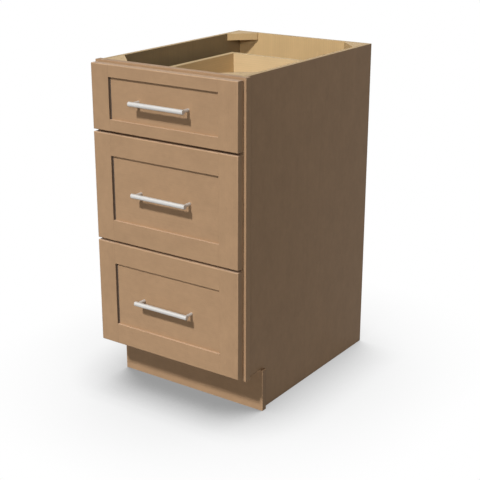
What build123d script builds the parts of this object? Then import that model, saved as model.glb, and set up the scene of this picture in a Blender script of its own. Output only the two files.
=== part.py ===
"""Drawer base cabinet: a face-frame carcass with three drawers on telescopic side runners.

Millimetres, +Z up, the drawers open towards -Y, and the origin lies on the floor
under the middle of the whole outline, pulls included.
"""
import os

from build123d import *

# Cabinet outline
CABINET_WIDTH = 457.2
CABINET_HEIGHT = 876.3
CABINET_DEPTH = 609.6

# Face frame, with rails tenoned into the stiles
FRAME_THICK = 19.05
STILE_WIDTH = 38.1
RAIL_HEIGHT = 38.1
FRAME_OVERHANG = 9.5
TENON_LENGTH = 12.7
TENON_THICK = 6.35
TENON_SHOULDER = 6.35

# Carcass panels, toe kick and corner braces
SIDE_THICK = 12.7
BACK_THICK = 12.7
BOTTOM_THICK = 12.7
DADO_DEPTH = 6.35
TOE_HEIGHT = 114.3
TOE_DEPTH = 76.2
TOE_THICK = 15.9
BRACE_LEG = 63.5
BRACE_NOSE = 3.0
BRACE_THICK = 19.05
BRACE_HOLE_D = 6.0
BRACE_HOLE_INSET = 25.4

# Drawer fronts, each a frame of stiles and rails around a recessed panel
TOP_FRONT_HEIGHT = 167.25
SIDE_REVEAL = 6.35
TOP_REVEAL = 5.0
BOTTOM_REVEAL = 12.7
FRONT_GAP = 6.35
FRONT_THICK = 22.2
FRONT_STILE = 55.5
TOP_FRONT_RAIL = 30.5
LOW_FRONT_RAIL = 56.0
PANEL_RECESS = 6.0
GROOVE_WIDTH = 6.35
GROOVE_DEPTH = 9.5
PANEL_FLOAT = 0.3
EDGE_EASE = 2.4

# Bumpers that hold a closed front off the face frame
BUMPER_THICK = 3.0
BUMPER_D = 9.5
BUMPER_INSET = 25.4

# Drawer boxes, dovetailed at the corners
BOX_THICK = 15.9
BOX_LIFT = 5.5
TOP_BOX_CLEARANCE = 8.9
LOW_BOX_CLEARANCE = 33.35
BOX_BACK_CLEARANCE = 79.4
BOX_BOTTOM_THICK = 6.35
BOX_BOTTOM_LIFT = 12.7
BOX_GROOVE_DEPTH = 6.35
PIN_PITCH = 25.4
PIN_NARROW = 6.0
PIN_SLOPE = 1 / 7

# Telescopic runners in the space between a box and the edge of its opening
RUNNER_SPACE = 12.7
RUNNER_HEIGHT = 45.0
RUNNER_INNER_HEIGHT = 27.0
RUNNER_GAUGE = 1.2
RUNNER_SLIP = 0.4
RUNNER_LIFT = 44.0
RUNNER_SETBACK = 3.2
RUNNER_END_INSET = 6.3
SPACER_HEIGHT = 63.5

# Bar pulls and their screws
PULL_LENGTH = 167.0
PULL_CENTRES = 152.4
PULL_STANDOFF = 28.5
BAR_D = 12.0
BAR_CHAMFER = 0.6
POST_D = 8.0
POST_FIT = 0.05
SCREW_D = 4.0
SCREW_BITE = 12.0
SCREW_TIP_ROOM = 1.0
SCREW_FIT = 0.05
SCREW_HOLE_D = 5.0
HEAD_D = 8.0
HEAD_HEIGHT = 2.6
HEAD_ROUND = 1.2
CROSS_LENGTH = 4.2
CROSS_WIDTH = 1.0
CROSS_DEPTH = 1.3

# Places across the width, as half widths from the middle
FRAME_HALF = CABINET_WIDTH / 2
OPENING_HALF = FRAME_HALF - STILE_WIDTH
SIDE_OUTER = FRAME_HALF - FRAME_OVERHANG
SIDE_INNER = SIDE_OUTER - SIDE_THICK
PANEL_HALF = SIDE_INNER + DADO_DEPTH
FRONT_HALF = FRAME_HALF - SIDE_REVEAL
FRONT_INNER = FRONT_HALF - FRONT_STILE
BOX_HALF = OPENING_HALF - RUNNER_SPACE
BOX_INNER = BOX_HALF - BOX_THICK
BUMPER_X = (OPENING_HALF + FRONT_HALF) / 2
POST_X = PULL_CENTRES / 2

# Places from front to back
PULL_REACH = BUMPER_THICK + FRONT_THICK - PANEL_RECESS + PULL_STANDOFF + BAR_D / 2
FRAME_FACE = (PULL_REACH - CABINET_DEPTH) / 2
FRAME_BACK = FRAME_FACE + FRAME_THICK
CABINET_BACK = FRAME_FACE + CABINET_DEPTH
BACK_FACE = CABINET_BACK - BACK_THICK
TOE_FACE = FRAME_FACE + TOE_DEPTH
TOE_BACK = TOE_FACE + TOE_THICK
FRONT_BACK = FRAME_FACE - BUMPER_THICK
FRONT_FACE = FRONT_BACK - FRONT_THICK
PANEL_FACE = FRONT_FACE + PANEL_RECESS
BAR_Y = PANEL_FACE - PULL_STANDOFF
BOX_BACK = BACK_FACE - BOX_BACK_CLEARANCE
BOX_FRONT_INNER = FRONT_BACK + BOX_THICK
BOX_BACK_INNER = BOX_BACK - BOX_THICK
RUNNER_FRONT = FRAME_FACE + RUNNER_SETBACK
RUNNER_BACK = BOX_BACK - RUNNER_END_INSET
FRAME_MIDDLE = FRAME_FACE + FRAME_THICK / 2
TENON_Y = (FRAME_MIDDLE - TENON_THICK / 2, FRAME_MIDDLE + TENON_THICK / 2)
GROOVE_Y = (PANEL_FACE, PANEL_FACE + GROOVE_WIDTH)

# Runner section, from the cabinet's web inwards, each step one sheet and one slip
RUNNER_STEP = RUNNER_GAUGE + RUNNER_SLIP
CABINET_WEB = OPENING_HALF - RUNNER_GAUGE
MIDDLE_WEB = CABINET_WEB - RUNNER_STEP
DRAWER_LIP = MIDDLE_WEB - RUNNER_STEP
MIDDLE_LIP = DRAWER_LIP - RUNNER_STEP
CABINET_LIP = MIDDLE_LIP - RUNNER_STEP
CABINET_MEMBER_HALF = RUNNER_HEIGHT / 2
MIDDLE_MEMBER_HALF = CABINET_MEMBER_HALF - RUNNER_STEP
DRAWER_LIP_HALF = MIDDLE_MEMBER_HALF - RUNNER_STEP
DRAWER_MEMBER_HALF = RUNNER_INNER_HEIGHT / 2
MOUTH_HALF = DRAWER_MEMBER_HALF + RUNNER_SLIP
RUNNER_LENGTH = RUNNER_BACK - RUNNER_FRONT

# Heights of the drawer fronts, then of the rails centred behind the gaps between them
LOW_FRONT_HEIGHT = (
    CABINET_HEIGHT - TOE_HEIGHT - TOP_REVEAL - TOP_FRONT_HEIGHT - 2 * FRONT_GAP - BOTTOM_REVEAL
) / 2
BOTTOM_FRONT_Z = (TOE_HEIGHT + BOTTOM_REVEAL, TOE_HEIGHT + BOTTOM_REVEAL + LOW_FRONT_HEIGHT)
MIDDLE_FRONT_Z = (BOTTOM_FRONT_Z[1] + FRONT_GAP, BOTTOM_FRONT_Z[1] + FRONT_GAP + LOW_FRONT_HEIGHT)
TOP_FRONT_Z = (MIDDLE_FRONT_Z[1] + FRONT_GAP, CABINET_HEIGHT - TOP_REVEAL)
LOWER_RAIL_Z = BOTTOM_FRONT_Z[1] + FRONT_GAP / 2 - RAIL_HEIGHT / 2
UPPER_RAIL_Z = MIDDLE_FRONT_Z[1] + FRONT_GAP / 2 - RAIL_HEIGHT / 2
FRAME_RAILS = {
    "bottom": TOE_HEIGHT,
    "lower": LOWER_RAIL_Z,
    "upper": UPPER_RAIL_Z,
    "top": CABINET_HEIGHT - RAIL_HEIGHT,
}
BOTTOM_TOP = TOE_HEIGHT + RAIL_HEIGHT

# Heights of the drawer boxes
LOW_BOX_HEIGHT = LOWER_RAIL_Z - BOTTOM_TOP - BOX_LIFT - LOW_BOX_CLEARANCE
TOP_BOX_HEIGHT = FRAME_RAILS["top"] - UPPER_RAIL_Z - RAIL_HEIGHT - BOX_LIFT - TOP_BOX_CLEARANCE

# Each drawer: the limits of its front, its rail height, and the foot and height of its box
DRAWERS = {
    "top": (TOP_FRONT_Z, TOP_FRONT_RAIL, UPPER_RAIL_Z + RAIL_HEIGHT + BOX_LIFT, TOP_BOX_HEIGHT),
    "middle": (MIDDLE_FRONT_Z, LOW_FRONT_RAIL, LOWER_RAIL_Z + RAIL_HEIGHT + BOX_LIFT, LOW_BOX_HEIGHT),
    "bottom": (BOTTOM_FRONT_Z, LOW_FRONT_RAIL, BOTTOM_TOP + BOX_LIFT, LOW_BOX_HEIGHT),
}
SIDES = {"left": -1, "right": 1}


# Helpers
def save(builder, name):
    """Label a finished piece and write it as its own STEP file."""
    builder.part.label = name
    export_step(builder.part, f"parts/{name}.step")


def span(a, b):
    """Give two limits in rising order."""
    return min(a, b), max(a, b)


def block(x, y, z, mode=Mode.ADD):
    """Add or cut a block between the two limits given on each axis."""
    with Locations(tuple(sum(limits) / 2 for limits in (x, y, z))):
        Box(x[1] - x[0], y[1] - y[0], z[1] - z[0], mode=mode)


def flat(x, y, mode=Mode.ADD):
    """Draw or cut a rectangle between the two limits given on each axis of the sketch."""
    with Locations((sum(x) / 2, sum(y) / 2)):
        Rectangle(x[1] - x[0], y[1] - y[0], mode=mode)


def facing_front(y):
    """Give the sketch plane at one depth whose normal points out of the cabinet's front."""
    return Plane.XZ.offset(-y)


# Face frame
def tenon_height(foot):
    """Give the limits in height of the tenons on a rail that starts at a given foot."""
    return foot + TENON_SHOULDER, foot + RAIL_HEIGHT - TENON_SHOULDER


def frame_stile(hand, side):
    """Make a stile with its mortises and the dado that takes the side panel's front edge."""
    height = (TOE_HEIGHT, CABINET_HEIGHT)
    with BuildPart() as stile:
        block(span(side * OPENING_HALF, side * FRAME_HALF), (FRAME_FACE, FRAME_BACK), height)
        dado = span(side * SIDE_INNER, side * SIDE_OUTER)
        block(dado, (FRAME_BACK - DADO_DEPTH, FRAME_BACK), height, Mode.SUBTRACT)
        mortise = span(side * OPENING_HALF, side * (OPENING_HALF + TENON_LENGTH))
        for foot in FRAME_RAILS.values():
            block(mortise, TENON_Y, tenon_height(foot), Mode.SUBTRACT)
    save(stile, f"frame_{hand}_stile")


def frame_rail(place, foot):
    """Make a rail with a tenon at each end."""
    reach = OPENING_HALF + TENON_LENGTH
    with BuildPart() as rail:
        block((-OPENING_HALF, OPENING_HALF), (FRAME_FACE, FRAME_BACK), (foot, foot + RAIL_HEIGHT))
        block((-reach, reach), TENON_Y, tenon_height(foot))
    save(rail, f"frame_{place}_rail")


# Carcass panels
def side_panel(hand, side):
    """Make a side panel with its toe notch, bottom dado and back rabbet."""
    dado = span(side * SIDE_INNER, side * PANEL_HALF)
    front = FRAME_BACK - DADO_DEPTH
    with BuildPart() as panel:
        with BuildSketch(Plane.YZ.offset(min(side * SIDE_INNER, side * SIDE_OUTER))):
            flat((front, CABINET_BACK), (0, CABINET_HEIGHT))
            flat((front, TOE_BACK), (0, TOE_HEIGHT), Mode.SUBTRACT)
        extrude(amount=SIDE_THICK)
        block(dado, (FRAME_BACK, BACK_FACE), (BOTTOM_TOP - BOTTOM_THICK, BOTTOM_TOP), Mode.SUBTRACT)
        block(dado, (BACK_FACE, CABINET_BACK), (0, CABINET_HEIGHT), Mode.SUBTRACT)
    save(panel, f"{hand}_side_panel")


def inner_panels():
    """Make the back panel, the bottom panel and the toe kick board."""
    with BuildPart() as back:
        block((-PANEL_HALF, PANEL_HALF), (BACK_FACE, CABINET_BACK), (0, CABINET_HEIGHT))
    save(back, "back_panel")
    with BuildPart() as bottom:
        block((-PANEL_HALF, PANEL_HALF), (FRAME_BACK, BACK_FACE), (BOTTOM_TOP - BOTTOM_THICK, BOTTOM_TOP))
    save(bottom, "bottom_panel")
    with BuildPart() as toe:
        block((-FRAME_HALF, FRAME_HALF), (TOE_FACE, TOE_BACK), (0, TOE_HEIGHT))
    save(toe, "toe_kick_board")


def corner_braces():
    """Make the four triangular braces, blunt at the tips, each with a worktop screw hole."""
    outline = ((0, 0), (BRACE_LEG, 0), (BRACE_LEG, BRACE_NOSE), (BRACE_NOSE, BRACE_LEG), (0, BRACE_LEG))
    with BuildPart() as braces:
        with BuildSketch(Plane.XY.offset(CABINET_HEIGHT - BRACE_THICK)):
            for side in SIDES.values():
                for y, inward in ((FRAME_BACK, 1), (BACK_FACE, -1)):
                    corner = [(side * (SIDE_INNER - u), y + inward * v) for u, v in outline]
                    Polygon(*corner, align=None)
                    with Locations((side * (SIDE_INNER - BRACE_HOLE_INSET), y + inward * BRACE_HOLE_INSET)):
                        Circle(BRACE_HOLE_D / 2, mode=Mode.SUBTRACT)
        extrude(amount=BRACE_THICK)
    save(braces, "corner_braces")


# Runner parts that stay on the cabinet, and the bumpers
def runner_spacers():
    """Make the strips between the side panels and the runners, one pair to a drawer."""
    with BuildPart() as spacers:
        for _, _, foot, _ in DRAWERS.values():
            low = foot + RUNNER_LIFT - SPACER_HEIGHT / 2
            for side in SIDES.values():
                across = span(side * OPENING_HALF, side * SIDE_INNER)
                block(across, (FRAME_BACK, BACK_FACE), (low, low + SPACER_HEIGHT))
    save(spacers, "runner_spacers")


def lipped_channel(web, lip, half, lip_limits, middle):
    """Draw a runner member: a web, two flanges of a half height, and a lip on each flange."""
    flat((web, web + RUNNER_GAUGE), (middle - half, middle + half))
    for up in (-1, 1):
        flange = span(up * (half - RUNNER_GAUGE), up * half)
        flat((min(web, lip), max(web, lip) + RUNNER_GAUGE), (middle + flange[0], middle + flange[1]))
        lip_z = span(up * lip_limits[0], up * lip_limits[1])
        flat((lip, lip + RUNNER_GAUGE), (middle + lip_z[0], middle + lip_z[1]))


def runner_cabinet_members():
    """Make the outer channels, one pair to a drawer, fixed to the stiles and spacers."""
    with BuildPart() as members:
        with BuildSketch(facing_front(RUNNER_BACK)):
            for _, _, foot, _ in DRAWERS.values():
                lip_z = (MOUTH_HALF, CABINET_MEMBER_HALF)
                lipped_channel(CABINET_WEB, CABINET_LIP, CABINET_MEMBER_HALF, lip_z, foot + RUNNER_LIFT)
        extrude(amount=RUNNER_LENGTH)
        mirror(about=Plane.YZ)
    save(members, "runner_cabinet_members")


def frame_bumpers():
    """Make the bumpers on the stiles, at the four corners of each drawer front."""
    places = []
    for front_z, _, _, _ in DRAWERS.values():
        for z in (front_z[0] + BUMPER_INSET, front_z[1] - BUMPER_INSET):
            places += [(side * BUMPER_X, z) for side in SIDES.values()]
    with BuildPart() as bumpers:
        with BuildSketch(facing_front(FRAME_FACE)):
            with Locations(*places):
                Circle(BUMPER_D / 2)
        extrude(amount=BUMPER_THICK)
    save(bumpers, "frame_bumpers")


# Drawer fronts
def front_stile(drawer, hand, side, front_z):
    """Make a front's stile, grooved on its inner edge and eased round its outer edges."""
    with BuildPart() as stile:
        block(span(side * FRONT_INNER, side * FRONT_HALF), (FRONT_FACE, FRONT_BACK), front_z)
        groove = span(side * FRONT_INNER, side * (FRONT_INNER + GROOVE_DEPTH))
        block(groove, GROOVE_Y, front_z, Mode.SUBTRACT)
        edges = stile.faces().sort_by(Axis.Y)[0].edges()
        outer = edges.filter_by(Axis.Z).sort_by(Axis.X)[-1 if side > 0 else 0]
        fillet([outer, *edges.filter_by(Axis.X)], EDGE_EASE)
    save(stile, f"{drawer}_drawer_front_{hand}_stile")


def front_rail(drawer, place, rail_z, inner_z):
    """Make a front's rail with stub tenons, a groove on its inner edge and an eased outer edge."""
    reach = FRONT_INNER + GROOVE_DEPTH
    with BuildPart() as rail:
        block((-FRONT_INNER, FRONT_INNER), (FRONT_FACE, FRONT_BACK), rail_z)
        block((-reach, reach), GROOVE_Y, rail_z)
        block((-reach, reach), GROOVE_Y, inner_z, Mode.SUBTRACT)
        edges = rail.faces().sort_by(Axis.Y)[0].edges().filter_by(Axis.X).sort_by(Axis.Z)
        fillet(edges[-1 if place == "top" else 0], EDGE_EASE)
    save(rail, f"{drawer}_drawer_front_{place}_rail")


def front_panel(drawer, opening_z):
    """Make a front's panel: a tongue in the frame's grooves, flush with the frame at the back."""
    reach = FRONT_INNER + GROOVE_DEPTH - PANEL_FLOAT
    spread = GROOVE_DEPTH - PANEL_FLOAT
    core = FRONT_INNER - PANEL_FLOAT
    core_z = (opening_z[0] + PANEL_FLOAT, opening_z[1] - PANEL_FLOAT)
    middle = sum(opening_z) / 2
    with BuildPart() as panel:
        block((-reach, reach), GROOVE_Y, (opening_z[0] - spread, opening_z[1] + spread))
        block((-core, core), (PANEL_FACE, FRONT_BACK), core_z)
        with BuildSketch(facing_front(FRONT_BACK)):
            with Locations((-POST_X, middle), (POST_X, middle)):
                Circle(SCREW_HOLE_D / 2)
        extrude(amount=FRONT_THICK, mode=Mode.SUBTRACT)
    save(panel, f"{drawer}_drawer_front_panel")


def drawer_front(drawer, front_z, rail_height):
    """Make the five pieces of one drawer front."""
    opening_z = (front_z[0] + rail_height, front_z[1] - rail_height)
    for hand, side in SIDES.items():
        front_stile(drawer, hand, side, front_z)
    front_rail(drawer, "top", (opening_z[1], front_z[1]), (opening_z[1], opening_z[1] + GROOVE_DEPTH))
    front_rail(drawer, "bottom", (front_z[0], opening_z[0]), (opening_z[0] - GROOVE_DEPTH, opening_z[0]))
    front_panel(drawer, opening_z)


# Drawer boxes
def pins(end, shoulder, foot, height, mode=Mode.ADD):
    """Draw the dovetail pins of one box corner, narrow at the end and wide at the shoulder."""
    count = max(2, round(height / PIN_PITCH))
    wide = PIN_NARROW + 2 * PIN_SLOPE * BOX_THICK
    for row in range(count + 1):
        middle = foot + row * height / count
        low = [max(middle - width / 2, foot) for width in (PIN_NARROW, wide)]
        high = [min(middle + width / 2, foot + height) for width in (PIN_NARROW, wide)]
        corners = ((end, low[0]), (shoulder, low[1]), (shoulder, high[1]), (end, high[0]))
        Polygon(*corners, align=None, mode=mode)


def bottom_groove(foot, room):
    """Give the limits of a box bottom that stops short of its grooves' ends by some room."""
    reach = BOX_GROOVE_DEPTH - room
    across = BOX_INNER + reach
    along = (BOX_FRONT_INNER - reach, BOX_BACK_INNER + reach)
    return (-across, across), along, (foot + BOX_BOTTOM_LIFT, foot + BOX_BOTTOM_LIFT + BOX_BOTTOM_THICK)


def box_side(drawer, hand, side, foot, height):
    """Make a box side with tails at both ends and a groove for the bottom."""
    with BuildPart() as board:
        with BuildSketch(Plane.YZ.offset(min(side * BOX_INNER, side * BOX_HALF))):
            flat((FRONT_BACK, BOX_BACK), (foot, foot + height))
            pins(FRONT_BACK, BOX_FRONT_INNER, foot, height, Mode.SUBTRACT)
            pins(BOX_BACK, BOX_BACK_INNER, foot, height, Mode.SUBTRACT)
        extrude(amount=BOX_THICK)
        block(*bottom_groove(foot, 0), Mode.SUBTRACT)
    save(board, f"{drawer}_drawer_box_{hand}_side")


def box_end(drawer, place, end, shoulder, foot, height, hole_z):
    """Make a box front or back with pins at both sides, and the pull's holes in a front."""
    with BuildPart() as board:
        block((-BOX_INNER, BOX_INNER), span(end, shoulder), (foot, foot + height))
        for x in (-BOX_HALF, BOX_INNER):
            with BuildSketch(Plane.YZ.offset(x)):
                pins(end, shoulder, foot, height)
            extrude(amount=BOX_THICK)
        block(*bottom_groove(foot, 0), Mode.SUBTRACT)
        if place == "front":
            with BuildSketch(facing_front(shoulder)):
                with Locations((-POST_X, hole_z), (POST_X, hole_z)):
                    Circle(SCREW_HOLE_D / 2)
            extrude(amount=BOX_THICK, mode=Mode.SUBTRACT)
    save(board, f"{drawer}_drawer_box_{place}")


def drawer_box(drawer, foot, height, hole_z):
    """Make the five pieces of one drawer box."""
    for hand, side in SIDES.items():
        box_side(drawer, hand, side, foot, height)
    box_end(drawer, "front", FRONT_BACK, BOX_FRONT_INNER, foot, height, hole_z)
    box_end(drawer, "back", BOX_BACK, BOX_BACK_INNER, foot, height, hole_z)
    with BuildPart() as bottom:
        block(*bottom_groove(foot, PANEL_FLOAT))
    save(bottom, f"{drawer}_drawer_box_bottom")


# Drawer pulls
def pull_bar(drawer, z):
    """Make the round bar with a socket in its back for each post."""
    with BuildPart() as bar:
        with BuildSketch(Plane.YZ.offset(-PULL_LENGTH / 2)):
            with Locations((BAR_Y, z)):
                Circle(BAR_D / 2)
        extrude(amount=PULL_LENGTH)
        chamfer(bar.edges().filter_by(GeomType.CIRCLE), BAR_CHAMFER)
        with BuildSketch(facing_front(BAR_Y)):
            with Locations((-POST_X, z), (POST_X, z)):
                Circle(POST_D / 2 + POST_FIT)
        extrude(amount=-BAR_D, mode=Mode.SUBTRACT)
    save(bar, f"{drawer}_drawer_pull_bar")


def pull_posts(drawer, z):
    """Make the two posts, standing on the panel and drilled for their screws."""
    with BuildPart() as posts:
        for radius, length, mode in (
            (POST_D / 2, PULL_STANDOFF, Mode.ADD),
            (SCREW_D / 2 + SCREW_FIT, SCREW_BITE, Mode.SUBTRACT),
        ):
            with BuildSketch(facing_front(PANEL_FACE)):
                with Locations((-POST_X, z), (POST_X, z)):
                    Circle(radius)
            extrude(amount=length, mode=mode)
    save(posts, f"{drawer}_drawer_pull_posts")


def pull_screws(drawer, z):
    """Make the two screws, their heads inside the box and their tips in the posts."""
    shank = BOX_FRONT_INNER - PANEL_FACE + SCREW_BITE - SCREW_TIP_ROOM
    cross_y = (BOX_FRONT_INNER + HEAD_HEIGHT - CROSS_DEPTH, BOX_FRONT_INNER + HEAD_HEIGHT)
    with BuildPart() as screws:
        for radius, length in ((SCREW_D / 2, shank), (HEAD_D / 2, -HEAD_HEIGHT)):
            with BuildSketch(facing_front(BOX_FRONT_INNER)):
                with Locations((-POST_X, z), (POST_X, z)):
                    Circle(radius)
            extrude(amount=length)
        fillet(screws.edges().group_by(Axis.Y)[-1], HEAD_ROUND)
        for x in (-POST_X, POST_X):
            for wide, tall in ((CROSS_LENGTH, CROSS_WIDTH), (CROSS_WIDTH, CROSS_LENGTH)):
                across = (x - wide / 2, x + wide / 2)
                block(across, cross_y, (z - tall / 2, z + tall / 2), Mode.SUBTRACT)
    save(screws, f"{drawer}_drawer_pull_screws")


# Runner parts that travel
def runner_middle_members(drawer, middle):
    """Make the pair of middle members, held between the cabinet's lips and the drawer's."""
    with BuildPart() as members:
        with BuildSketch(facing_front(RUNNER_BACK)):
            lip_z = (MOUTH_HALF, MIDDLE_MEMBER_HALF)
            lipped_channel(MIDDLE_WEB, MIDDLE_LIP, MIDDLE_MEMBER_HALF, lip_z, middle)
        extrude(amount=RUNNER_LENGTH)
        mirror(about=Plane.YZ)
    save(members, f"{drawer}_drawer_runner_middle_members")


def runner_drawer_members(drawer, middle):
    """Make the pair of inner members, fixed to the box sides, with lips turned outwards."""
    with BuildPart() as members:
        with BuildSketch(facing_front(RUNNER_BACK)):
            lip_z = (DRAWER_MEMBER_HALF - RUNNER_GAUGE, DRAWER_LIP_HALF)
            lipped_channel(BOX_HALF, DRAWER_LIP, DRAWER_MEMBER_HALF, lip_z, middle)
        extrude(amount=RUNNER_LENGTH)
        mirror(about=Plane.YZ)
    save(members, f"{drawer}_drawer_runner_drawer_members")


# The whole cabinet
os.makedirs("parts", exist_ok=True)

for hand, side in SIDES.items():
    frame_stile(hand, side)
    side_panel(hand, side)
for place, foot in FRAME_RAILS.items():
    frame_rail(place, foot)
inner_panels()
corner_braces()
runner_spacers()
runner_cabinet_members()
frame_bumpers()

for drawer, (front_z, rail_height, foot, height) in DRAWERS.items():
    pull_z = sum(front_z) / 2
    drawer_front(drawer, front_z, rail_height)
    drawer_box(drawer, foot, height, pull_z)
    pull_bar(drawer, pull_z)
    pull_posts(drawer, pull_z)
    pull_screws(drawer, pull_z)
    runner_middle_members(drawer, foot + RUNNER_LIFT)
    runner_drawer_members(drawer, foot + RUNNER_LIFT)
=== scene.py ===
"""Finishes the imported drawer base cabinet: wood, metal and rubber, eased edges, screws and a stage."""
import math
import random

import bpy
from bpy.props import FloatProperty, FloatVectorProperty, IntProperty, PointerProperty
from mathutils import Euler, Matrix, Vector


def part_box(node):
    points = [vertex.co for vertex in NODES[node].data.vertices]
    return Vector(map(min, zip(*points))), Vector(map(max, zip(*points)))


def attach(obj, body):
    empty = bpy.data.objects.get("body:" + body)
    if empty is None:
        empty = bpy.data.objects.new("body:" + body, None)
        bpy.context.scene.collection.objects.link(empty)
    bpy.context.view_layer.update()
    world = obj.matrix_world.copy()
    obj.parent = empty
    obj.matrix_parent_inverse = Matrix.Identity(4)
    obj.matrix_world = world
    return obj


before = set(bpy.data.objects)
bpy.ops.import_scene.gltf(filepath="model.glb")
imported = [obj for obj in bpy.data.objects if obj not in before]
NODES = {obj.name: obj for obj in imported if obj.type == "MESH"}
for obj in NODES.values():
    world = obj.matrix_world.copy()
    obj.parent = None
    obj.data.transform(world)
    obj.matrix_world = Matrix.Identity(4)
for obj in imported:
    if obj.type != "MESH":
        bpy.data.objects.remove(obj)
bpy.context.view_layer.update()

bl_info = {
    "name": "Drawer Base Cabinet",
    "version": (1, 0, 0),
    "blender": (4, 5, 0),
    "location": "View3D > Sidebar > Cabinet",
    "description": "Finishes a drawer base cabinet and stages it for a picture",
    "category": "Object",
}

DRAWERS = ("top", "middle", "bottom")
SIDES = {"left": -1, "right": 1}

# Boards by finish
FACE_BOARDS = [name for name in NODES if name.startswith("frame_") and name != "frame_bumpers"]
FRONT_BOARDS = [name for name in NODES if "_drawer_front_" in name]
STAINED_BOARDS = FACE_BOARDS + FRONT_BOARDS + ["toe_kick_board"]
SIDE_PANELS = {f"{hand}_side_panel": side for hand, side in SIDES.items()}
BOX_BOARDS = [name for name in NODES if "_drawer_box_" in name and not name.endswith("_bottom")]
SOLID_BOARDS = ["corner_braces", "runner_spacers"]
VENEERED_BOARDS = [f"{drawer}_drawer_box_bottom" for drawer in DRAWERS] + ["back_panel", "bottom_panel"]
PULL_PIECES = [name for name in NODES if name.endswith(("_pull_bar", "_pull_posts"))]
RUNNER_PIECES = [name for name in NODES if "runner" in name and name != "runner_spacers"]
PULL_SCREWS = [name for name in NODES if name.endswith("_pull_screws")]

# Turns that bring a board's grain onto the pattern's first axis, for grain along X, Y and Z
GRAIN_TURNS = ((0, 0, 0), (0, 0, -math.pi / 2), (0, math.pi / 2, 0))

# Noises in the wood: their scale along and across the grain, their detail and their roughness
NOISES = {
    "streaks": ((2.5, 60, 60), 4.0, 0.5),
    "fibres": ((30, 900, 900), 2.0, 0.5),
    "clouds": ((13, 20, 20), 2.0, 0.5),
    "blotches": ((55, 80, 80), 3.0, 0.55),
    "smudges": ((110, 150, 150), 2.0, 0.5),
    "flecks": ((220, 1500, 1500), 1.0, 0.5),
}
# Noises that leave separate marks: where a mark begins and where it is full
MARKS = {"smudges": (0.60, 0.76), "flecks": (0.62, 0.78)}

# Growth rings: how they lean, stretch along the grain and waver
RING_LEAN = (0, 0.05, 0.03)
RING_STRETCH = (0.3, 1, 1)
RING_WAVER = {"Distortion": 5.0, "Detail": 2.0, "Detail Scale": 0.12}
# A wave node's angle, in radians, for each unit of its scale
WAVE_ANGLE = 20

# Where the middle of a board's trunk lies, to its side and behind it, and how far its noises are moved about
PITH_ASIDE = 0.03
PITH_BEHIND = (0.06, 0.12)
NOISE_SPREAD = 4

# Tone of a wood: its middle, how far each pattern shifts it both ways and how much each mark darkens it
STAIN_TONE = (
    0.52,
    {"rings": 0.08, "streaks": 0.2, "clouds": 0.6, "blotches": 0.55, "fibres": 0.14},
    {"smudges": 0.16, "flecks": 0.1},
)
MAPLE_TONE = (0.55, {"rings": 0.2, "streaks": 0.5, "clouds": 0.4, "fibres": 0.25}, {"flecks": 0.15})
# How much lighter the stain is where an edge is eased
EDGE_TONE = 0.25

# Shades of a wood's colour: dark, light and at the end grain, and how much of the last shows
STAIN_SHADES = (0.84, 1.16, 0.7)
STAIN_END = 0.45
MAPLE_SHADES = (0.82, 1.14, 0.66)
MAPLE_END = 0.6

# Plywood: its plies, where one fades into the next, their shades and their streaks
PLIES = 9
PLY_FADE = (0.35, 0.65)
PLY_SHADES = (0.68, 1.0)
PLY_STREAKS = 0.5

# How much of a normal along an axis makes end grain, a flat face, an edge with painted light or shade and a
# veneered face
END_LIMITS = (0.75, 0.9)
FLAT_LIMITS = (0.86, 0.985)
SHADED_LIMITS = (0.5, 0.9)
FACED_LIMITS = (0.3, 0.6)

# Satin lacquer: its roughness on stain and on clear maple, how that varies, its gloss and the grain's relief
STAIN_ROUGHNESS = 0.5
MAPLE_ROUGHNESS = 0.48
LACQUER_VARIATION = 0.14
LACQUER_GLOSS = 0.12
LACQUER_BUMP = {"Strength": 0.1, "Distance": 0.0003}
FIBRE_RELIEF = 0.7
STREAK_RELIEF = 0.3

# Eased edges: the gap that is welded, the angles that count as flat and as an edge, and the rounding's steps
WELD_GAP = 0.00001
FLAT_ANGLE = math.radians(0.5)
EASE_ANGLE = math.radians(40)
EASE_SEGMENTS = 2

# Metals: how their brush lines stretch, how rough they are and how metallic
NICKEL = {"stretch": (60, 2400, 2400), "roughness": 0.42, "metallic": 0.35}
ZINC = {"stretch": (1600, 30, 1600), "roughness": 0.42, "metallic": 1.0}
SCREW_STEEL = {"stretch": (1800, 1800, 1800), "roughness": 0.38, "metallic": 1.0}
# Every metal's detail, clouds, shades and bump, and how lines and clouds vary its tone and its roughness
METAL_DETAIL = 3.0
METAL_CLOUDS = (70, 70, 70)
METAL_SHADES = (0.9, 1.1)
METAL_BUMP = {"Strength": 0.05, "Distance": 0.0001}
LINE_TONE = 0.7
CLOUD_TONE = 0.5
LINE_ROUGHNESS = 0.2
CLOUD_ROUGHNESS = 0.12

# Rubber: its clouds and shades, its roughness and how that varies, and how clear it is
RUBBER_CLOUDS = (300, 300, 300)
RUBBER_SHADES = (0.85, 1.1)
RUBBER_ROUGHNESS = 0.35
RUBBER_VARIATION = 0.2
RUBBER_CLEAR = 0.4

# A screw's head: its corners, and its crown as a share of its height
HEAD_CORNERS = 32
HEAD_CROWN = 0.55
CROWN_SEGMENTS = 4
# The cross in the head: its arms' width and reach and its depth, as shares of the head's width, and its taper
CROSS_ARM = 0.13
CROSS_REACH = 0.2
CROSS_DEPTH = 0.08
CROSS_TAPER = 0.55

# A staple: its legs and its rounding in thicknesses of its wire, and how far it strays and turns
STAPLE_LEG = 2
STAPLE_ROUND = 0.3
ROUND_SEGMENTS = 3
STAPLE_STRAY = 0.008
STAPLE_TURN = 0.12

# A face faces along an axis when its normal has more than this along it
ALIGNED = 0.5
# Fasteners are shaded smooth across edges that bend less than this
SMOOTH_ANGLE = math.radians(35)
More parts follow.
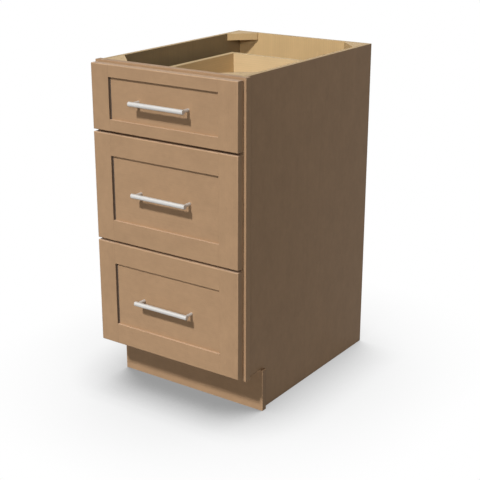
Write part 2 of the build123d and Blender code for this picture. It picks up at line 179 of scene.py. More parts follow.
# The runner's sheet as a share of the step from one member to the next
SHEET_SHARE = 0.75

# The floor's shadow: its samples, the way its near part leans and the powers of its two parts
SHADOW_SAMPLES = {"samples": 16}
NEAR_LEAN = {"Y": 0.5, "Z": 0.87}
WIDE_POWER = 0.34
NEAR_POWER = 0.6

# Painted light and shade on a front: painted highlights where it faces up, and painted shade on the walls of
# its recess and on its panel beside them
PAINTED_TOP_LIGHT = (1.38, 1.50, 1.74, 1.0)
SOFT_PAINTED_TOP_LIGHT = (1.25, 1.33, 1.48, 1.0)
PAINTED_RECESS_SHADE = (0.46, 0.52, 0.64, 1.0)
PAINTED_MARGIN_SHADE = (0.25, 0.29, 0.39, 1.0)
# Where the painted shade begins on a panel and where it is full, in margins from the stile
MARGIN_FADE = (1.2, 0.8)
# Edges of a front with painted light or shade: the end of the board's name, the axis and the way an edge
# faces, and its shade
PAINTED_EDGE_SHADING = (
    ("_front_left_stile", 0, 1, PAINTED_RECESS_SHADE),
    ("_front_right_stile", 0, -1, PAINTED_RECESS_SHADE),
    ("_front_left_stile", 2, 1, PAINTED_TOP_LIGHT),
    ("_front_right_stile", 2, 1, PAINTED_TOP_LIGHT),
    ("_front_top_rail", 2, 1, SOFT_PAINTED_TOP_LIGHT),
    ("_front_bottom_rail", 2, 1, PAINTED_TOP_LIGHT),
)

# Turns that bring a screw's axis from Z onto each axis it is driven along
FACING = {
    "+X": Matrix.Rotation(math.pi / 2, 4, "Y"),
    "-X": Matrix.Rotation(-math.pi / 2, 4, "Y"),
    "+Y": Matrix.Rotation(-math.pi / 2, 4, "X"),
}
# The way that a screw faces on each side of a drawer box
OUTWARD = {-1: "-X", 1: "+X"}

# The colour sockets of a Mix node
MIX_FIRST = 6
MIX_SECOND = 7
MIX_RESULT = 2


# What a user may change
class CabinetFinishes(bpy.types.PropertyGroup):
    """Colours and grain of the finishes."""

    stain: FloatVectorProperty(
        name="Stain", description="Stained maple of the fronts and the face frame",
        subtype="COLOR", min=0, max=1, default=(0.389, 0.2455, 0.1405),
    )
    maple: FloatVectorProperty(
        name="Maple", description="Clear lacquered maple of the back, the bottoms and the braces",
        subtype="COLOR", min=0, max=1, default=(0.554, 0.386, 0.194),
    )
    box_maple: FloatVectorProperty(
        name="Box maple", description="Paler maple of the drawer boxes",
        subtype="COLOR", min=0, max=1, default=(0.58, 0.436, 0.251),
    )
    # Maple darkened by painted shade, for the inside of the side panels
    shaded_inside_maple: FloatVectorProperty(
        name="Inside maple", description="Darker maple veneer inside the side panels",
        subtype="COLOR", min=0, max=1, default=(0.286, 0.213, 0.12),
    )
    nickel: FloatVectorProperty(
        name="Nickel", description="Satin nickel of the pulls",
        subtype="COLOR", min=0, max=1, default=(0.60, 0.585, 0.56),
    )
    zinc: FloatVectorProperty(
        name="Zinc", description="Zinc plating of the runners and screws",
        subtype="COLOR", min=0, max=1, default=(0.60, 0.61, 0.62),
    )
    rubber: FloatVectorProperty(
        name="Rubber", description="Clear rubber of the bumpers",
        subtype="COLOR", min=0, max=1, default=(0.75, 0.75, 0.73),
    )
    ring_pitch: FloatProperty(
        name="Ring pitch", description="Width of a growth ring", unit="LENGTH", default=0.006,
    )
    # The width of painted shade on a panel beside its stiles
    panel_margin: FloatProperty(
        name="Panel margin", description="Width of the stain gathered beside a panel's stiles",
        unit="LENGTH", default=0.0034,
    )
    front_ease: FloatProperty(
        name="Front ease", description="Radius on the edges of stained boards",
        unit="LENGTH", default=0.0004,
    )
    box_ease: FloatProperty(
        name="Box ease", description="Radius on the edges of natural boards",
        unit="LENGTH", default=0.0003,
    )


class CabinetFixings(bpy.types.PropertyGroup):
    """Sizes and places of the screws and staples."""

    front_head: FloatProperty(
        name="Front head", description="Width of a front screw's head", unit="LENGTH", default=0.010,
    )
    front_height: FloatProperty(
        name="Front height", description="Height of a front screw's head", unit="LENGTH", default=0.0026,
    )
    front_inset: FloatProperty(
        name="Front inset", description="From the box's sides to its front screws",
        unit="LENGTH", default=0.035,
    )
    front_drop: FloatProperty(
        name="Front drop", description="From the box's edges to its front screws",
        unit="LENGTH", default=0.030,
    )
    runner_head: FloatProperty(
        name="Runner head", description="Width of a runner screw's head", unit="LENGTH", default=0.0075,
    )
    runner_height: FloatProperty(
        name="Runner height", description="Height of a runner screw's head",
        unit="LENGTH", default=0.0019,
    )
    runner_inset: FloatProperty(
        name="Runner inset", description="From a runner's ends to its screws",
        unit="LENGTH", default=0.038,
    )
    runner_screws: IntProperty(
        name="Runner screws", description="Screws along one runner", min=2, default=4,
    )
    staple_crown: FloatProperty(
        name="Staple crown", description="Length of a staple's crown", unit="LENGTH", default=0.0127,
    )
    staple_wire: FloatProperty(
        name="Staple wire", description="Thickness of a staple's wire", unit="LENGTH", default=0.0013,
    )
    staple_inset: FloatProperty(
        name="Staple inset", description="From the back panel's sides to its staples",
        unit="LENGTH", default=0.0035,
    )
    staple_pitch: FloatProperty(
        name="Staple pitch", description="From one staple to the next", unit="LENGTH", default=0.095,
    )


class CabinetStage(bpy.types.PropertyGroup):
    """Camera, lights and floor."""

    camera_place: FloatVectorProperty(
        name="Camera", description="Where the camera stands", subtype="TRANSLATION", unit="LENGTH",
        default=(1.6106, -2.2801, 1.3295),
    )
    camera_pitch: FloatProperty(
        name="Pitch", description="How far the camera looks down", subtype="ANGLE",
        default=math.radians(19.061),
    )
    camera_yaw: FloatProperty(
        name="Yaw", description="How far the camera turns left", subtype="ANGLE",
        default=math.radians(34.953),
    )
    lens: FloatProperty(
        name="Lens", description="Focal length on a 36 mm sensor", unit="CAMERA", default=81.14,
    )
    key_direction: FloatVectorProperty(
        name="Key direction", description="The way that the key light travels", subtype="DIRECTION",
        default=(0.0, 1.0, -1.06),
    )
    key_strength: FloatProperty(
        name="Key strength", description="Strength of the key light", default=3.06,
    )
    key_angle: FloatProperty(
        name="Key angle", description="How wide the key light is, for soft shadows", subtype="ANGLE",
        default=math.radians(5),
    )
    fill_direction: FloatVectorProperty(
        name="Fill direction", description="The way that the fill light travels", subtype="DIRECTION",
        default=(-0.54, 0.775, -0.327),
    )
    fill_strength: FloatProperty(
        name="Fill strength", description="Strength of the fill light", default=0.85,
    )
    fill_angle: FloatProperty(
        name="Fill angle", description="How wide the fill light is, for soft shadows", subtype="ANGLE",
        default=math.radians(15),
    )
    back_direction: FloatVectorProperty(
        name="Back direction", description="The way that the back light travels", subtype="DIRECTION",
        default=(0.6, -0.8, 0.0),
    )
    back_strength: FloatProperty(
        name="Back strength", description="Strength of the back light", default=1.1,
    )
    back_angle: FloatProperty(
        name="Back angle", description="How wide the back light is, for soft shadows", subtype="ANGLE",
        default=math.radians(1),
    )
    ambient: FloatVectorProperty(
        name="Ambient", description="Light from all round", subtype="COLOR", default=(0.08, 0.08, 0.08),
    )
    floor_bounce: FloatProperty(
        name="Floor bounce", description="How much light the floor throws back", default=0.2,
    )
    wide_shadow: FloatProperty(
        name="Wide shadow", description="How far the floor's faint shadow spreads",
        unit="LENGTH", default=0.45,
    )
    near_shadow: FloatProperty(
        name="Near shadow", description="How far the floor's dark shadow spreads",
        unit="LENGTH", default=0.17,
    )
    floor_dark: FloatProperty(
        name="Floor dark", description="Darkest shade on the floor", default=0.32,
    )
    floor_size: FloatProperty(
        name="Floor size", description="Width of the floor", unit="LENGTH", default=24.0,
    )


# Shader nodes
class Field:
    """A node's output, on which arithmetic adds Math nodes."""

    def __init__(self, tree, socket):
        self.tree = tree
        self.socket = socket

    def output(self, name):
        """Give another output of the same node."""
        return Field(self.tree, self.socket.node.outputs[name])

    def math(self, operation, first, second):
        return self.tree.node("ShaderNodeMath", {"operation": operation}, {0: first, 1: second})

    def higher(self, other):
        """Give the higher of two values."""
        return self.math("MAXIMUM", self, other)

    def __add__(self, other):
        return self.math("ADD", self, other)

    def __sub__(self, other):
        return self.math("SUBTRACT", self, other)

    def __rsub__(self, other):
        return self.math("SUBTRACT", other, self)

    def __mul__(self, other):
        return self.math("MULTIPLY", self, other)

    def __pow__(self, other):
        return self.math("POWER", self, other)

    def __rpow__(self, other):
        return self.math("POWER", other, self)

    def __abs__(self):
        return self.math("ABSOLUTE", self, 0.0)

    __radd__ = __add__
    __rmul__ = __mul__


class Tree:
    """A material's or the world's node tree."""

    def __init__(self, tree):
        tree.nodes.clear()
        self.tree = tree

    def node(self, kind, settings=None, inputs=None, output=0):
        """Add a node, make its settings, fill or link its sockets, and give one of its outputs."""
        node = self.tree.nodes.new(kind)
        for name, value in (settings or {}).items():
            setattr(node, name, value)
        for name, value in (inputs or {}).items():
            if isinstance(value, Field):
                self.tree.links.new(value.socket, node.inputs[name])
            else:
                node.inputs[name].default_value = value
        return Field(self, node.outputs[output]) if node.outputs else None

    def mix(self, factor, first, second, blend="MIX"):
        """Blend two colours."""
        settings = {"data_type": "RGBA", "blend_type": blend}
        inputs = {0: factor, MIX_FIRST: first, MIX_SECOND: second}
        return self.node("ShaderNodeMix", settings, inputs, MIX_RESULT)

    def noise(self, coords, scale, detail=2.0, roughness=0.5):
        """Give a noise of about 0 to 1, stretched by a scale on each axis."""
        stretched = self.node("ShaderNodeMapping", inputs={"Vector": coords, "Scale": scale})
        inputs = {"Vector": stretched, "Scale": 1.0, "Detail": detail, "Roughness": roughness}
        return self.node("ShaderNodeTexNoise", inputs=inputs)

    def fade(self, value, low, high):
        """Give 0 below one value and 1 above another, with a smooth step between them."""
        inputs = {"Value": value, "From Min": low, "From Max": high}
        return self.node("ShaderNodeMapRange", {"interpolation_type": "SMOOTHSTEP"}, inputs)

    def parts(self, vector):
        """Give a vector's three parts."""
        first = self.node("ShaderNodeSeparateXYZ", inputs={0: vector})
        return [first.output(name) for name in "XYZ"]


def rgba(colour, shade=1.0):
    """Give a colour socket's value, lighter or darker."""
    return tuple(min(1.0, channel * shade) for channel in colour) + (1.0,)


def new_material(name):
    """Start a material and give it with its tree."""
    material = bpy.data.materials.new(name)
    material.use_nodes = True
    return material, Tree(material.node_tree)


def close_material(tree, inputs):
    """End a material's tree in a principled shader."""
    shader = tree.node("ShaderNodeBsdfPrincipled", inputs=inputs)
    tree.node("ShaderNodeOutputMaterial", inputs={"Surface": shader})


def wear(node, material):
    """Put a material on a CAD node."""
    for slot in NODES[node].material_slots:
        slot.material = material


# Wood
class Board:
    """The patterns of one board: its grain, its end grain and its eased edges."""

    def __init__(self, tree, node, finishes):
        self.tree = tree
        self.draw = random.Random(node)
        self.ring_pitch = finishes.ring_pitch
        low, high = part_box(node)
        size = high - low
        along = max(range(3), key=lambda axis: size[axis])
        self.across = min(range(3), key=lambda axis: size[axis])
        self.thickness = size[self.across]
        self.middle = (low + high) / 2
        self.place = tree.node("ShaderNodeTexCoord", output="Object")
        self.normal = tree.parts(self.place.output("Normal"))
        turn = Euler(GRAIN_TURNS[along])
        self.pith = self.turned(turn, self.pith_offset() - turn.to_matrix() @ self.middle)
        self.grain = self.turned(turn, self.noise_offset())
        self.end = tree.fade(abs(self.normal[along]), *END_LIMITS)
        self.edge = 1.0 - tree.fade(self.squareness(), *FLAT_LIMITS)

    def turned(self, turn, offset):
        """Give the place on the board with its grain along the first axis."""
        inputs = {"Vector": self.place, "Rotation": turn, "Location": offset}
        return self.tree.node("ShaderNodeMapping", inputs=inputs)

    def pith_offset(self):
        """Put the middle of the trunk behind the board and a little off its middle."""
        return Vector((0, self.draw.uniform(-PITH_ASIDE, PITH_ASIDE), self.draw.uniform(*PITH_BEHIND)))

    def noise_offset(self):
        """Move the noises about, so that no two boards look the same."""
        return Vector([self.draw.uniform(-NOISE_SPREAD, NOISE_SPREAD) for _ in range(3)])

    def squareness(self):
        """Give 1 on flat faces and less on eased edges."""
        first, second, third = [abs(part) for part in self.normal]
        return first.higher(second).higher(third)

    def rings(self):
        """Give the growth rings as they show on a sawn face."""
        inputs = {"Vector": self.pith, "Rotation": RING_LEAN, "Scale": RING_STRETCH}
        leaning = self.tree.node("ShaderNodeMapping", inputs=inputs)
        scale = 2 * math.pi / (WAVE_ANGLE * self.ring_pitch)
        inputs = {"Vector": leaning, "Scale": scale, **RING_WAVER}
        settings = {"wave_type": "RINGS", "rings_direction": "X", "wave_profile": "SAW"}
        return self.tree.node("ShaderNodeTexWave", settings, inputs, "Fac")

    def pattern(self, name):
        """Give the growth rings or one of the noises, from about 0 to 1."""
        if name == "rings":
            return self.rings()
        noise = self.tree.noise(self.grain, *NOISES[name])
        if name in MARKS:
            return self.tree.fade(noise, *MARKS[name])
        return noise

    def tone(self, middle, shifts, marks):
        """Give a tone that patterns shift from its middle and marks darken."""
        tone = middle
        for name, amount in shifts.items():
            tone = tone + amount * (self.pattern(name) - 0.5)
        for name, amount in marks.items():
            tone = tone - amount * self.pattern(name)
        return tone


def stained_colour(board, finishes):
    """Light brown stain: faint figure, soft blotches and small smudges, rubbed lighter at the edges."""
    dark, light, end = [rgba(finishes.stain, shade) for shade in STAIN_SHADES]
    face = board.tree.mix(board.tone(*STAIN_TONE) + EDGE_TONE * board.edge, dark, light)
    return board.tree.mix(STAIN_END * board.end, face, end)


def paint_edge_shading(board, node, colour):
    """Paint light onto the faces of a front that face up, and shade onto the inner edges of its stiles, the
    walls of its recess.
    """
    for ending, axis, way, shade in PAINTED_EDGE_SHADING:
        if node.endswith(ending):
            mask = board.tree.fade(way * board.normal[axis], *SHADED_LIMITS)
            colour = board.tree.mix(mask, colour, shade, "MULTIPLY")
    return colour


def paint_margin_shade(board, node, colour, margin):
    """Paint shade onto the panel of a front beside its stiles."""
    low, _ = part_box(node.replace("_panel", "_right_stile"))
    away = abs(board.tree.parts(board.place)[0])
    limits = [low[0] - share * margin for share in MARGIN_FADE]
    mask = board.tree.fade(away, *limits)
    return board.tree.mix(mask, colour, PAINTED_MARGIN_SHADE, "MULTIPLY")


def maple_colour(board, maple):
    """Clear lacquered maple: soft rings, streaks and fine flecks, darker at the end grain."""
    dark, light, end = [rgba(maple, shade) for shade in MAPLE_SHADES]
    face = board.tree.mix(board.tone(*MAPLE_TONE), dark, light)
    return board.tree.mix(MAPLE_END * board.end, face, end)


def veneered_colour(board, maple):
    """Maple veneer on the faces of a plywood panel, and plies that alternate at its edges."""
    tree = board.tree
    depth = tree.parts(board.place)[board.across] - board.middle[board.across]
    ply = board.thickness / PLIES
    limits = [share * ply for share in PLY_FADE]
    layer = tree.node("ShaderNodeMath", {"operation": "PINGPONG"}, {0: depth, 1: ply})
    tone = tree.fade(layer, *limits) + PLY_STREAKS * (board.pattern("streaks") - 0.5)
    plies = tree.mix(tone, *[rgba(maple, shade) for shade in PLY_SHADES])
    faced = tree.fade(abs(board.normal[board.across]), *FACED_LIMITS)
    return tree.mix(faced, plies, maple_colour(board, maple))


def lacquer(board, colour, roughness):
    """End a wood's tree in a satin lacquer over fine grain."""
    tree = board.tree
    fibres = board.pattern("fibres")
    height = FIBRE_RELIEF * fibres + STREAK_RELIEF * board.pattern("streaks")
    bump = tree.node("ShaderNodeBump", inputs={**LACQUER_BUMP, "Height": height})
    inputs = {
        "Base Color": colour,
        "Roughness": roughness + LACQUER_VARIATION * (fibres - 0.5),
        "Specular IOR Level": LACQUER_GLOSS,
        "Normal": bump,
    }
    close_material(tree, inputs)


def ease_edges(node, width):
    """Round a board's edges a little, so that they catch the light."""
    modifiers = NODES[node].modifiers
    weld = modifiers.new("join", "WELD")
    weld.merge_threshold = WELD_GAP
    flat = modifiers.new("flat", "DECIMATE")
    flat.decimate_type = "DISSOLVE"
    flat.angle_limit = FLAT_ANGLE
    ease = modifiers.new("ease", "BEVEL")
    ease.width = width
    ease.segments = EASE_SEGMENTS
    ease.limit_method = "ANGLE"
    ease.angle_limit = EASE_ANGLE
    ease.harden_normals = True


class CABINET_OT_stain_boards(bpy.types.Operator):
    """Stain the face frame, the drawer fronts and the toe kick"""

    bl_idname = "cabinet.stain_boards"
    bl_label = "Stain Boards"

    def execute(self, context):
        finishes = context.scene.cabinet_finishes
        for node in STAINED_BOARDS:
            material, tree = new_material(f"stained_maple.{node}")
            board = Board(tree, node, finishes)
            # Stain with painted highlights on faces that face up and painted shade in the recess
            colour = paint_edge_shading(board, node, stained_colour(board, finishes))
            # Panels get painted shade beside their stiles
            if node.endswith("_front_panel"):
                colour = paint_margin_shade(board, node, colour, finishes.panel_margin)
            lacquer(board, colour, STAIN_ROUGHNESS)
            wear(node, material)
            ease_edges(node, finishes.front_ease)
        return {"FINISHED"}


class CABINET_OT_finish_side_panels(bpy.types.Operator):
    """Stain the side panels outside, paint shade into the maple of their inside, and leave their edges
    natural
    """

    bl_idname = "cabinet.finish_side_panels"
    bl_label = "Finish Side Panels"

    def execute(self, context):
        finishes = context.scene.cabinet_finishes
        for node, side in SIDE_PANELS.items():
            material, tree = new_material(f"side_panel.{node}")
            board = Board(tree, node, finishes)
            inside = tree.fade(-side * board.normal[0], *FACED_LIMITS)
            outside = tree.fade(side * board.normal[0], *FACED_LIMITS)
            edges = veneered_colour(board, finishes.maple)
            # The inside is maple darkened by painted shade
            colour = tree.mix(inside, edges, maple_colour(board, finishes.shaded_inside_maple))
            colour = tree.mix(outside, colour, stained_colour(board, finishes))
            lacquer(board, colour, STAIN_ROUGHNESS)
            wear(node, material)
            ease_edges(node, finishes.box_ease)
        return {"FINISHED"}


class CABINET_OT_finish_natural_boards(bpy.types.Operator):
    """Give the drawer boxes and the inside of the cabinet a clear lacquer"""

    bl_idname = "cabinet.finish_natural_boards"
    bl_label = "Finish Natural Boards"

    def execute(self, context):
        finishes = context.scene.cabinet_finishes
        for nodes, paint, maple in (
            (BOX_BOARDS, maple_colour, finishes.box_maple),
            (SOLID_BOARDS, maple_colour, finishes.maple),
            (VENEERED_BOARDS, veneered_colour, finishes.maple),
        ):
            for node in nodes:
                material, tree = new_material(f"natural_maple.{node}")
                board = Board(tree, node, finishes)
                lacquer(board, paint(board, maple), MAPLE_ROUGHNESS)
                wear(node, material)
                ease_edges(node, finishes.box_ease)
        return {"FINISHED"}


# Metal and rubber
def brushed_metal(name, colour, stretch, roughness, metallic):
    """Metal with fine brush lines, faint clouds and a little wear."""
    material, tree = new_material(name)
    place = tree.node("ShaderNodeTexCoord", output="Object")
    lines = tree.noise(place, stretch, METAL_DETAIL)
    clouds = tree.noise(place, METAL_CLOUDS, METAL_DETAIL)
    tone = 0.5 + LINE_TONE * (lines - 0.5) + CLOUD_TONE * (clouds - 0.5)
    bump = tree.node("ShaderNodeBump", inputs={**METAL_BUMP, "Height": lines})
    inputs = {
        "Base Color": tree.mix(tone, *[rgba(colour, shade) for shade in METAL_SHADES]),
        "Metallic": metallic,
        "Roughness": roughness + LINE_ROUGHNESS * (lines - 0.5) + CLOUD_ROUGHNESS * (clouds - 0.5),
        "Normal": bump,
    }
    close_material(tree, inputs)
    return material


class CABINET_OT_finish_pulls(bpy.types.Operator):
    """Give the pulls a brushed satin nickel"""

    bl_idname = "cabinet.finish_pulls"
    bl_label = "Finish Pulls"

    def execute(self, context):
        finishes = context.scene.cabinet_finishes
        nickel = brushed_metal("satin_nickel", finishes.nickel, **NICKEL)
        for node in PULL_PIECES:
            wear(node, nickel)
        return {"FINISHED"}


class CABINET_OT_finish_runners(bpy.types.Operator):
    """Give the runners and the pull screws a zinc plating"""

    bl_idname = "cabinet.finish_runners"
    bl_label = "Finish Runners"

    def execute(self, context):
        finishes = context.scene.cabinet_finishes
        zinc = brushed_metal("zinc_plate", finishes.zinc, **ZINC)
        for node in RUNNER_PIECES:
            wear(node, zinc)
        steel = brushed_metal("screw_steel", finishes.zinc, **SCREW_STEEL)
        for node in PULL_SCREWS:
            wear(node, steel)
        return {"FINISHED"}


class CABINET_OT_finish_bumpers(bpy.types.Operator):
    """Give the bumpers a clear soft rubber"""

    bl_idname = "cabinet.finish_bumpers"
    bl_label = "Finish Bumpers"

    def execute(self, context):
        finishes = context.scene.cabinet_finishes
        material, tree = new_material("bumper_rubber")
        place = tree.node("ShaderNodeTexCoord", output="Object")
        clouds = tree.noise(place, RUBBER_CLOUDS)
        inputs = {
            "Base Color": tree.mix(clouds, *[rgba(finishes.rubber, shade) for shade in RUBBER_SHADES]),
            "Roughness": RUBBER_ROUGHNESS + RUBBER_VARIATION * (clouds - 0.5),
            "Transmission Weight": RUBBER_CLEAR,
        }
        close_material(tree, inputs)
        wear("frame_bumpers", material)
        return {"FINISHED"}


# Screws and staples
def select_faces(piece, chosen):
    """Go to edit mode with only the faces selected that pass a test."""
    bpy.ops.object.mode_set(mode="EDIT")
    bpy.ops.mesh.select_mode(type="FACE")
    bpy.ops.mesh.select_all(action="DESELECT")
    bpy.ops.object.mode_set(mode="OBJECT")
    for face in piece.data.polygons:
        face.select = chosen(face)
    bpy.ops.object.mode_set(mode="EDIT")


def model_cross(width, top):
    """Model the tapered cross that a driver leaves in a screw's head."""
    arm = CROSS_ARM * width
    bpy.ops.object.select_all(action="DESELECT")
    bpy.ops.mesh.primitive_cube_add(size=arm, location=(0, 0, top))
    cross = bpy.context.object
    bpy.ops.object.transform_apply()
    select_faces(cross, lambda face: abs(face.normal.z) < ALIGNED)
    bpy.ops.mesh.extrude_faces_move(TRANSFORM_OT_shrink_fatten={"value": CROSS_REACH * width})
    select_faces(cross, lambda face: face.normal.z < -ALIGNED)
    bpy.ops.transform.translate(value=(0, 0, -CROSS_DEPTH * width))
    bpy.ops.transform.resize(value=(CROSS_TAPER, CROSS_TAPER, 1), center_override=(0, 0, top))
    bpy.ops.object.mode_set(mode="OBJECT")
    return cross


def model_head(width, height):
    """Model one pan head with its cross, standing on the floor plane at the origin."""
    cross = model_cross(width, height)
    bpy.ops.object.select_all(action="DESELECT")
    bpy.ops.mesh.primitive_cylinder_add(
        vertices=HEAD_CORNERS, radius=width / 2, depth=height, location=(0, 0, height / 2),
    )
    head = bpy.context.object
    bpy.ops.object.transform_apply()
    select_faces(head, lambda face: face.normal.z > ALIGNED)
    bpy.ops.mesh.bevel(offset=HEAD_CROWN * height, segments=CROWN_SEGMENTS, affect="EDGES")
    bpy.ops.object.mode_set(mode="OBJECT")
    cut = head.modifiers.new("cross", "BOOLEAN")
    cut.object = cross
    bpy.ops.object.modifier_apply(modifier=cut.name)
    bpy.data.objects.remove(cross)
    bpy.ops.object.shade_smooth_by_angle(angle=SMOOTH_ANGLE)
    return head


def model_staple(crown, wire):
    """Model one staple whose crown lies on the floor plane at the origin, along the first axis."""
    bpy.ops.object.select_all(action="DESELECT")
    bpy.ops.mesh.primitive_cube_add(size=wire, location=(0, 0, 0))
    staple = bpy.context.object
    bpy.ops.object.transform_apply()
    select_faces(staple, lambda face: abs(face.normal.x) > ALIGNED)
    bpy.ops.mesh.extrude_faces_move(TRANSFORM_OT_shrink_fatten={"value": (crown - 3 * wire) / 2})
    bpy.ops.mesh.extrude_faces_move(TRANSFORM_OT_shrink_fatten={"value": wire})
    reach = crown / 2 - wire
    select_faces(staple, lambda face: face.normal.z < -ALIGNED and abs(face.center.x) > reach)
    bpy.ops.mesh.extrude_faces_move(TRANSFORM_OT_shrink_fatten={"value": STAPLE_LEG * wire})
    bpy.ops.object.mode_set(mode="OBJECT")
    bevel = staple.modifiers.new("round", "BEVEL")
    bevel.width = STAPLE_ROUND * wire
    bevel.segments = ROUND_SEGMENTS
    bpy.ops.object.modifier_apply(modifier=bevel.name)
    bpy.ops.object.shade_smooth_by_angle(angle=SMOOTH_ANGLE)
    return staple


def set_copies(model, places, name, body, material):
    """Copy a model to each place, join the copies and let them ride on a body."""
    copies = []
    for place in places:
        bpy.ops.object.select_all(action="DESELECT")
        model.select_set(True)
        bpy.context.view_layer.objects.active = model
        bpy.ops.object.duplicate()
        copy = bpy.context.object
        copy.matrix_world = place
        copies.append(copy)
    bpy.ops.object.select_all(action="DESELECT")
    for copy in copies:
        copy.select_set(True)
    bpy.context.view_layer.objects.active = copies[0]
    bpy.ops.object.join()
    bpy.ops.object.transform_apply()
    piece = bpy.context.object
    piece.name = name
    piece.data.materials.append(material)
    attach(piece, body)


def driven(place, facing, draw):
    """Give the place of a screw that faces a way, with its cross at a chance turn."""
    turn = Matrix.Rotation(draw.uniform(0, math.pi / 2), 4, "Z")
    return Matrix.Translation(place) @ FACING[facing] @ turn


class CABINET_OT_drive_front_screws(bpy.types.Operator):
    """Drive the screws that hold each drawer front, from inside its box"""

    bl_idname = "cabinet.drive_front_screws"
    bl_label = "Drive Front Screws"

    def execute(self, context):
        fixings = context.scene.cabinet_fixings
        steel = bpy.data.materials["screw_steel"]
        head = model_head(fixings.front_head, fixings.front_height)
        for drawer in DRAWERS:
            draw = random.Random(drawer)
            low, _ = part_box(f"{drawer}_drawer_box_left_side")
            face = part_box(f"{drawer}_drawer_box_front")[1]
            across = face.x - fixings.front_inset
            heights = (low.z + fixings.front_drop, face.z - fixings.front_drop)
            places = [
                driven((x, face.y, z), "+Y", draw) for x in (-across, across) for z in heights
            ]
            set_copies(head, places, f"{drawer}_drawer_front_screws", f"{drawer}_drawer", steel)
        bpy.data.objects.remove(head)
        return {"FINISHED"}


class CABINET_OT_drive_runner_screws(bpy.types.Operator):
    """Drive the screws that hold the runners to the drawer boxes"""

    bl_idname = "cabinet.drive_runner_screws"
    bl_label = "Drive Runner Screws"

    def execute(self, context):
        fixings = context.scene.cabinet_fixings
        steel = bpy.data.materials["screw_steel"]
        head = model_head(fixings.runner_head, fixings.runner_height)
        gauge = self.gauge()
        for drawer in DRAWERS:
            draw = random.Random(f"{drawer} runners")
            low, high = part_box(f"{drawer}_drawer_runner_drawer_members")
            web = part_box(f"{drawer}_drawer_box_right_side")[1].x + gauge
            first = low.y + fixings.runner_inset
            step = (high.y - low.y - 2 * fixings.runner_inset) / (fixings.runner_screws - 1)
            height = (low.z + high.z) / 2
            places = [
                driven((side * web, first + row * step, height), OUTWARD[side], draw)
                for side in SIDES.values() for row in range(fixings.runner_screws)
            ]
            set_copies(head, places, f"{drawer}_drawer_runner_screws", f"{drawer}_drawer", steel)
        bpy.data.objects.remove(head)
        return {"FINISHED"}

    def gauge(self):
        """Give the thickness of a runner's sheet, from the steps of its members."""
        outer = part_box("runner_cabinet_members")[1].x
        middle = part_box("top_drawer_runner_middle_members")[1].x
        return SHEET_SHARE * (outer - middle)


class CABINET_OT_staple_back(bpy.types.Operator):
    """Staple the back panel to the side panels and the bottom"""

    bl_idname = "cabinet.staple_back"
    bl_label = "Staple Back"

    def execute(self, context):
        fixings = context.scene.cabinet_fixings
        steel = bpy.data.materials["screw_steel"]
        staple = model_staple(fixings.staple_crown, fixings.staple_wire)
        draw = random.Random("staples")
        low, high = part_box("back_panel")
        floor_low, floor_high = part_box("bottom_panel")
        across = high.x - fixings.staple_inset
        rows = round((high.z - low.z) / fixings.staple_pitch)
        upright = Matrix.Rotation(math.pi / 2, 4, "Z")
        places = []
        for row in range(rows):
            z = low.z + (row + 0.5) * (high.z - low.z) / rows
            for x in (-across, across):
                stray = draw.uniform(-STAPLE_STRAY, STAPLE_STRAY)
                places.append(self.place(x, high.y, z + stray, draw) @ upright)
        columns = round(2 * across / fixings.staple_pitch)
        for column in range(1, columns):
            x = -across + column * 2 * across / columns
            places.append(self.place(x, high.y, (floor_low.z + floor_high.z) / 2, draw))
        set_copies(staple, places, "back_staples", "cabinet", steel)
        bpy.data.objects.remove(staple)
        return {"FINISHED"}

    def place(self, x, y, z, draw):
        """Give a staple's place on the back, a little out of line."""
        turn = Matrix.Rotation(draw.uniform(-STAPLE_TURN, STAPLE_TURN), 4, "Z")
        return Matrix.Translation((x, y, z)) @ FACING["+Y"] @ turn


# The stage
def seen_directly(tree):
    """Give 1 for rays from the camera, a mirror or glass, and 0 for light."""
    camera = tree.node("ShaderNodeLightPath", output="Is Camera Ray")
    return camera.higher(camera.output("Is Glossy Ray")).higher(camera.output("Is Transmission Ray"))


def build_world(stage):
    """Light from all round, and white where it is looked at or mirrored."""
    world = bpy.data.worlds.new("studio")
    world.use_nodes = True
    bpy.context.scene.world = world
    tree = Tree(world.node_tree)
    light = tree.node("ShaderNodeBackground", inputs={"Color": rgba(stage.ambient)})
    white = tree.node("ShaderNodeBackground", inputs={"Color": (1, 1, 1, 1)})
    both = tree.node("ShaderNodeMixShader", inputs={0: seen_directly(tree), 1: light, 2: white})
    tree.node("ShaderNodeOutputWorld", inputs={"Surface": both})


def floor_material(stage):
    """White floor with a soft shadow where the cabinet shades it, which throws little light back."""
    material, tree = new_material("studio_floor")
    wide = tree.node("ShaderNodeAmbientOcclusion", SHADOW_SAMPLES, {"Distance": stage.wide_shadow}, "AO")
    leaning = tree.node("ShaderNodeCombineXYZ", inputs=NEAR_LEAN)
    inputs = {"Distance": stage.near_shadow, "Normal": leaning}
    near = tree.node("ShaderNodeAmbientOcclusion", SHADOW_SAMPLES, inputs, "AO")
    shadow = (wide ** WIDE_POWER * near ** NEAR_POWER).higher(stage.floor_dark)
    shade = tree.node("ShaderNodeEmission", inputs={"Color": shadow})
    bounce = tree.node("ShaderNodeBsdfDiffuse", inputs={"Color": rgba((stage.floor_bounce,) * 3)})
    both = tree.node("ShaderNodeMixShader", inputs={0: seen_directly(tree), 1: bounce, 2: shade})
    tree.node("ShaderNodeOutputMaterial", inputs={"Surface": both})
    return material


def build_floor(stage):
    """Lay the floor under the cabinet."""
    bpy.ops.object.select_all(action="DESELECT")
    bpy.ops.mesh.primitive_plane_add(size=stage.floor_size, location=(0, 0, 0))
    floor = bpy.context.object
    floor.name = "studio_floor"
    floor.data.materials.append(floor_material(stage))


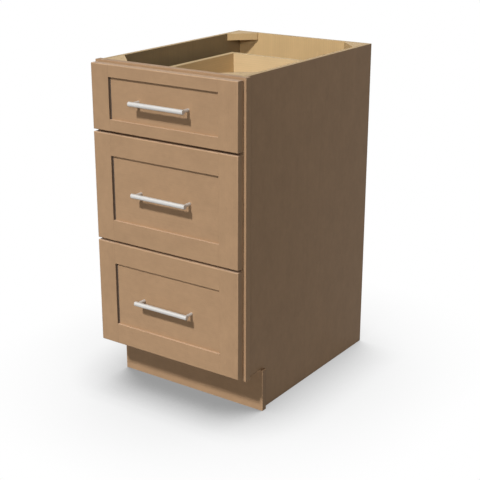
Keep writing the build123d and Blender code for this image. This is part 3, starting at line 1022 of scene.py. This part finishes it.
def hang_light(name, direction, strength, angle):
    """Hang a far light that travels one way."""
    lamp = bpy.data.lights.new(name, "SUN")
    lamp.energy = strength
    lamp.angle = angle
    light = bpy.data.objects.new(name, lamp)
    bpy.context.scene.collection.objects.link(light)
    light.rotation_euler = Vector(direction).to_track_quat("-Z", "Y").to_euler()
    return light


def build_camera(stage):
    """Stand the camera in front of the cabinet, to its right and above it."""
    lens = bpy.data.cameras.new("camera")
    lens.lens = stage.lens
    camera = bpy.data.objects.new("camera", lens)
    bpy.context.scene.collection.objects.link(camera)
    camera.location = stage.camera_place
    camera.rotation_euler = (math.pi / 2 - stage.camera_pitch, 0, stage.camera_yaw)
    bpy.context.scene.camera = camera


class CABINET_OT_build_stage(bpy.types.Operator):
    """Set up the camera, the lights, the floor and the world"""

    bl_idname = "cabinet.build_stage"
    bl_label = "Build Stage"

    def execute(self, context):
        stage = context.scene.cabinet_stage
        context.scene.view_settings.view_transform = "Standard"
        build_world(stage)
        build_floor(stage)
        hang_light("key_light", stage.key_direction, stage.key_strength, stage.key_angle)
        hang_light("fill_light", stage.fill_direction, stage.fill_strength, stage.fill_angle)
        back = hang_light("back_light", stage.back_direction, stage.back_strength, stage.back_angle)
        # It only brightens the back and the left side, with no gleam on the top edges
        back.visible_glossy = False
        build_camera(stage)
        return {"FINISHED"}


class CABINET_PT_sidebar(bpy.types.Panel):
    """Sizes, colours and steps of the cabinet"""

    bl_idname = "CABINET_PT_sidebar"
    bl_label = "Drawer Base Cabinet"
    bl_space_type = "VIEW_3D"
    bl_region_type = "UI"
    bl_category = "Cabinet"

    def draw(self, context):
        for name in GROUPS:
            group = getattr(context.scene, name)
            box = self.layout.box()
            for setting in group.__annotations__:
                box.prop(group, setting)
        for operator in OPERATORS:
            self.layout.operator(operator.bl_idname)


OPERATORS = (
    CABINET_OT_stain_boards,
    CABINET_OT_finish_side_panels,
    CABINET_OT_finish_natural_boards,
    CABINET_OT_finish_pulls,
    CABINET_OT_finish_runners,
    CABINET_OT_finish_bumpers,
    CABINET_OT_drive_front_screws,
    CABINET_OT_drive_runner_screws,
    CABINET_OT_staple_back,
    CABINET_OT_build_stage,
)
GROUPS = {
    "cabinet_finishes": CabinetFinishes,
    "cabinet_fixings": CabinetFixings,
    "cabinet_stage": CabinetStage,
}


def register():
    """Register the classes and give the scene its settings."""
    for kind in (*GROUPS.values(), *OPERATORS, CABINET_PT_sidebar):
        bpy.utils.register_class(kind)
    for name, group in GROUPS.items():
        setattr(bpy.types.Scene, name, PointerProperty(type=group))


def unregister():
    """Take the settings and the classes away again."""
    for name in GROUPS:
        delattr(bpy.types.Scene, name)
    for kind in (CABINET_PT_sidebar, *reversed(OPERATORS), *GROUPS.values()):
        bpy.utils.unregister_class(kind)


def main():
    """Make every piece in order."""
    register()
    bpy.ops.cabinet.stain_boards()
    bpy.ops.cabinet.finish_side_panels()
    bpy.ops.cabinet.finish_natural_boards()
    bpy.ops.cabinet.finish_pulls()
    bpy.ops.cabinet.finish_runners()
    bpy.ops.cabinet.finish_bumpers()
    bpy.ops.cabinet.drive_front_screws()
    bpy.ops.cabinet.drive_runner_screws()
    bpy.ops.cabinet.staple_back()
    bpy.ops.cabinet.build_stage()


if __name__ == "__main__":
    main()
